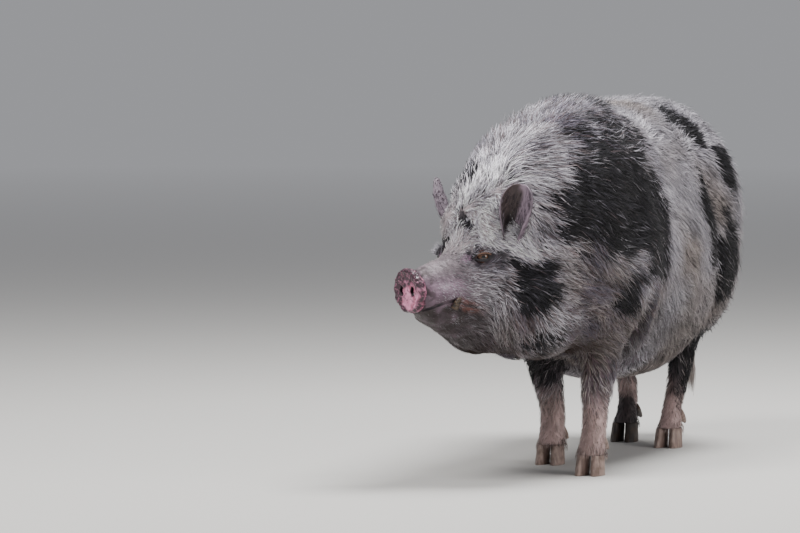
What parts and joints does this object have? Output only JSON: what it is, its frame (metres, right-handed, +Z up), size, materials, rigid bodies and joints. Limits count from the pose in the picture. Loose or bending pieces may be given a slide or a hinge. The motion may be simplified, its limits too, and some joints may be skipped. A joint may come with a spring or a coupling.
{
  "type": "kunekune pig figure",
  "caption": "Life-size still figure of a kunekune pig standing with its head turned to its right, with a spotted bristly coat, short upturned snout, jowls and small tusks.",
  "frame": {"origin": "on the floor, under the middle of the bounding box", "axes": "+Z up; the body points to -Y and the pig's left side is at +X; the head is turned towards -X"},
  "size_m": [0.384, 1.1332, 0.664],
  "materials": {
    "coat": "bristly hair, matt",
    "bare_skin": "thin bare hide, matt",
    "snout": "moist bare skin, satin",
    "hoof": "horn, matt",
    "eye": "wet, glossy",
    "tusk": "ivory, satin"
  },
  "bodies": {
    "root": {"head": "coat", "neck": "coat", "torso": "coat", "tail": "coat", "leg_front_left": "coat", "leg_front_right": "coat", "leg_hind_left": "coat", "leg_hind_right": "coat", "ear_left": "bare_skin", "ear_right": "bare_skin", "snout": "snout", "eye_left": "eye", "eye_right": "eye", "tusk_left": "tusk", "tusk_right": "tusk", "toe_front_left_inner": "hoof", "toe_front_left_outer": "hoof", "toe_front_right_inner": "hoof", "toe_front_right_outer": "hoof", "toe_hind_left_inner": "hoof", "toe_hind_left_outer": "hoof", "toe_hind_right_inner": "hoof", "toe_hind_right_outer": "hoof", "dewclaw_front_left_inner": "hoof", "dewclaw_front_left_outer": "hoof", "dewclaw_front_right_inner": "hoof", "dewclaw_front_right_outer": "hoof", "dewclaw_hind_left_inner": "hoof", "dewclaw_hind_left_outer": "hoof", "dewclaw_hind_right_inner": "hoof", "dewclaw_hind_right_outer": "hoof"}
  },
  "joints": []
}
